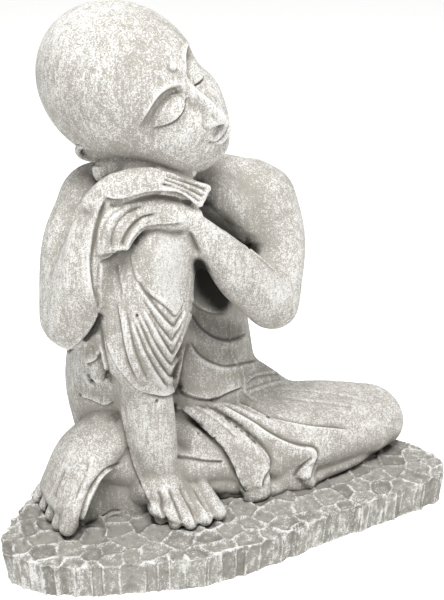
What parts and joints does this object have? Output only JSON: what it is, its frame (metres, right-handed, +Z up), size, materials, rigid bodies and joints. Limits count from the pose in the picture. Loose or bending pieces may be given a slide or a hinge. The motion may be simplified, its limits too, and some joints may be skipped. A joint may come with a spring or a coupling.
{
  "type": "garden statue",
  "caption": "Seated robed figure in pale grey cast stone, head resting on folded hands over a raised knee, on an integral slab with a cobbled top and fluted edge.",
  "frame": {"origin": "middle of the slab's underside", "axes": "+Z up, the figure's chest faces -Y, +X along the slab towards the folded knee"},
  "size_m": [0.375, 0.1898, 0.4272],
  "materials": {
    "cast_stone": "matt, dry brushed with white on the raised parts, grey in the hollows, with small pinholes"
  },
  "bodies": {
    "root": {"resting_figure": "cast_stone"}
  },
  "joints": []
}
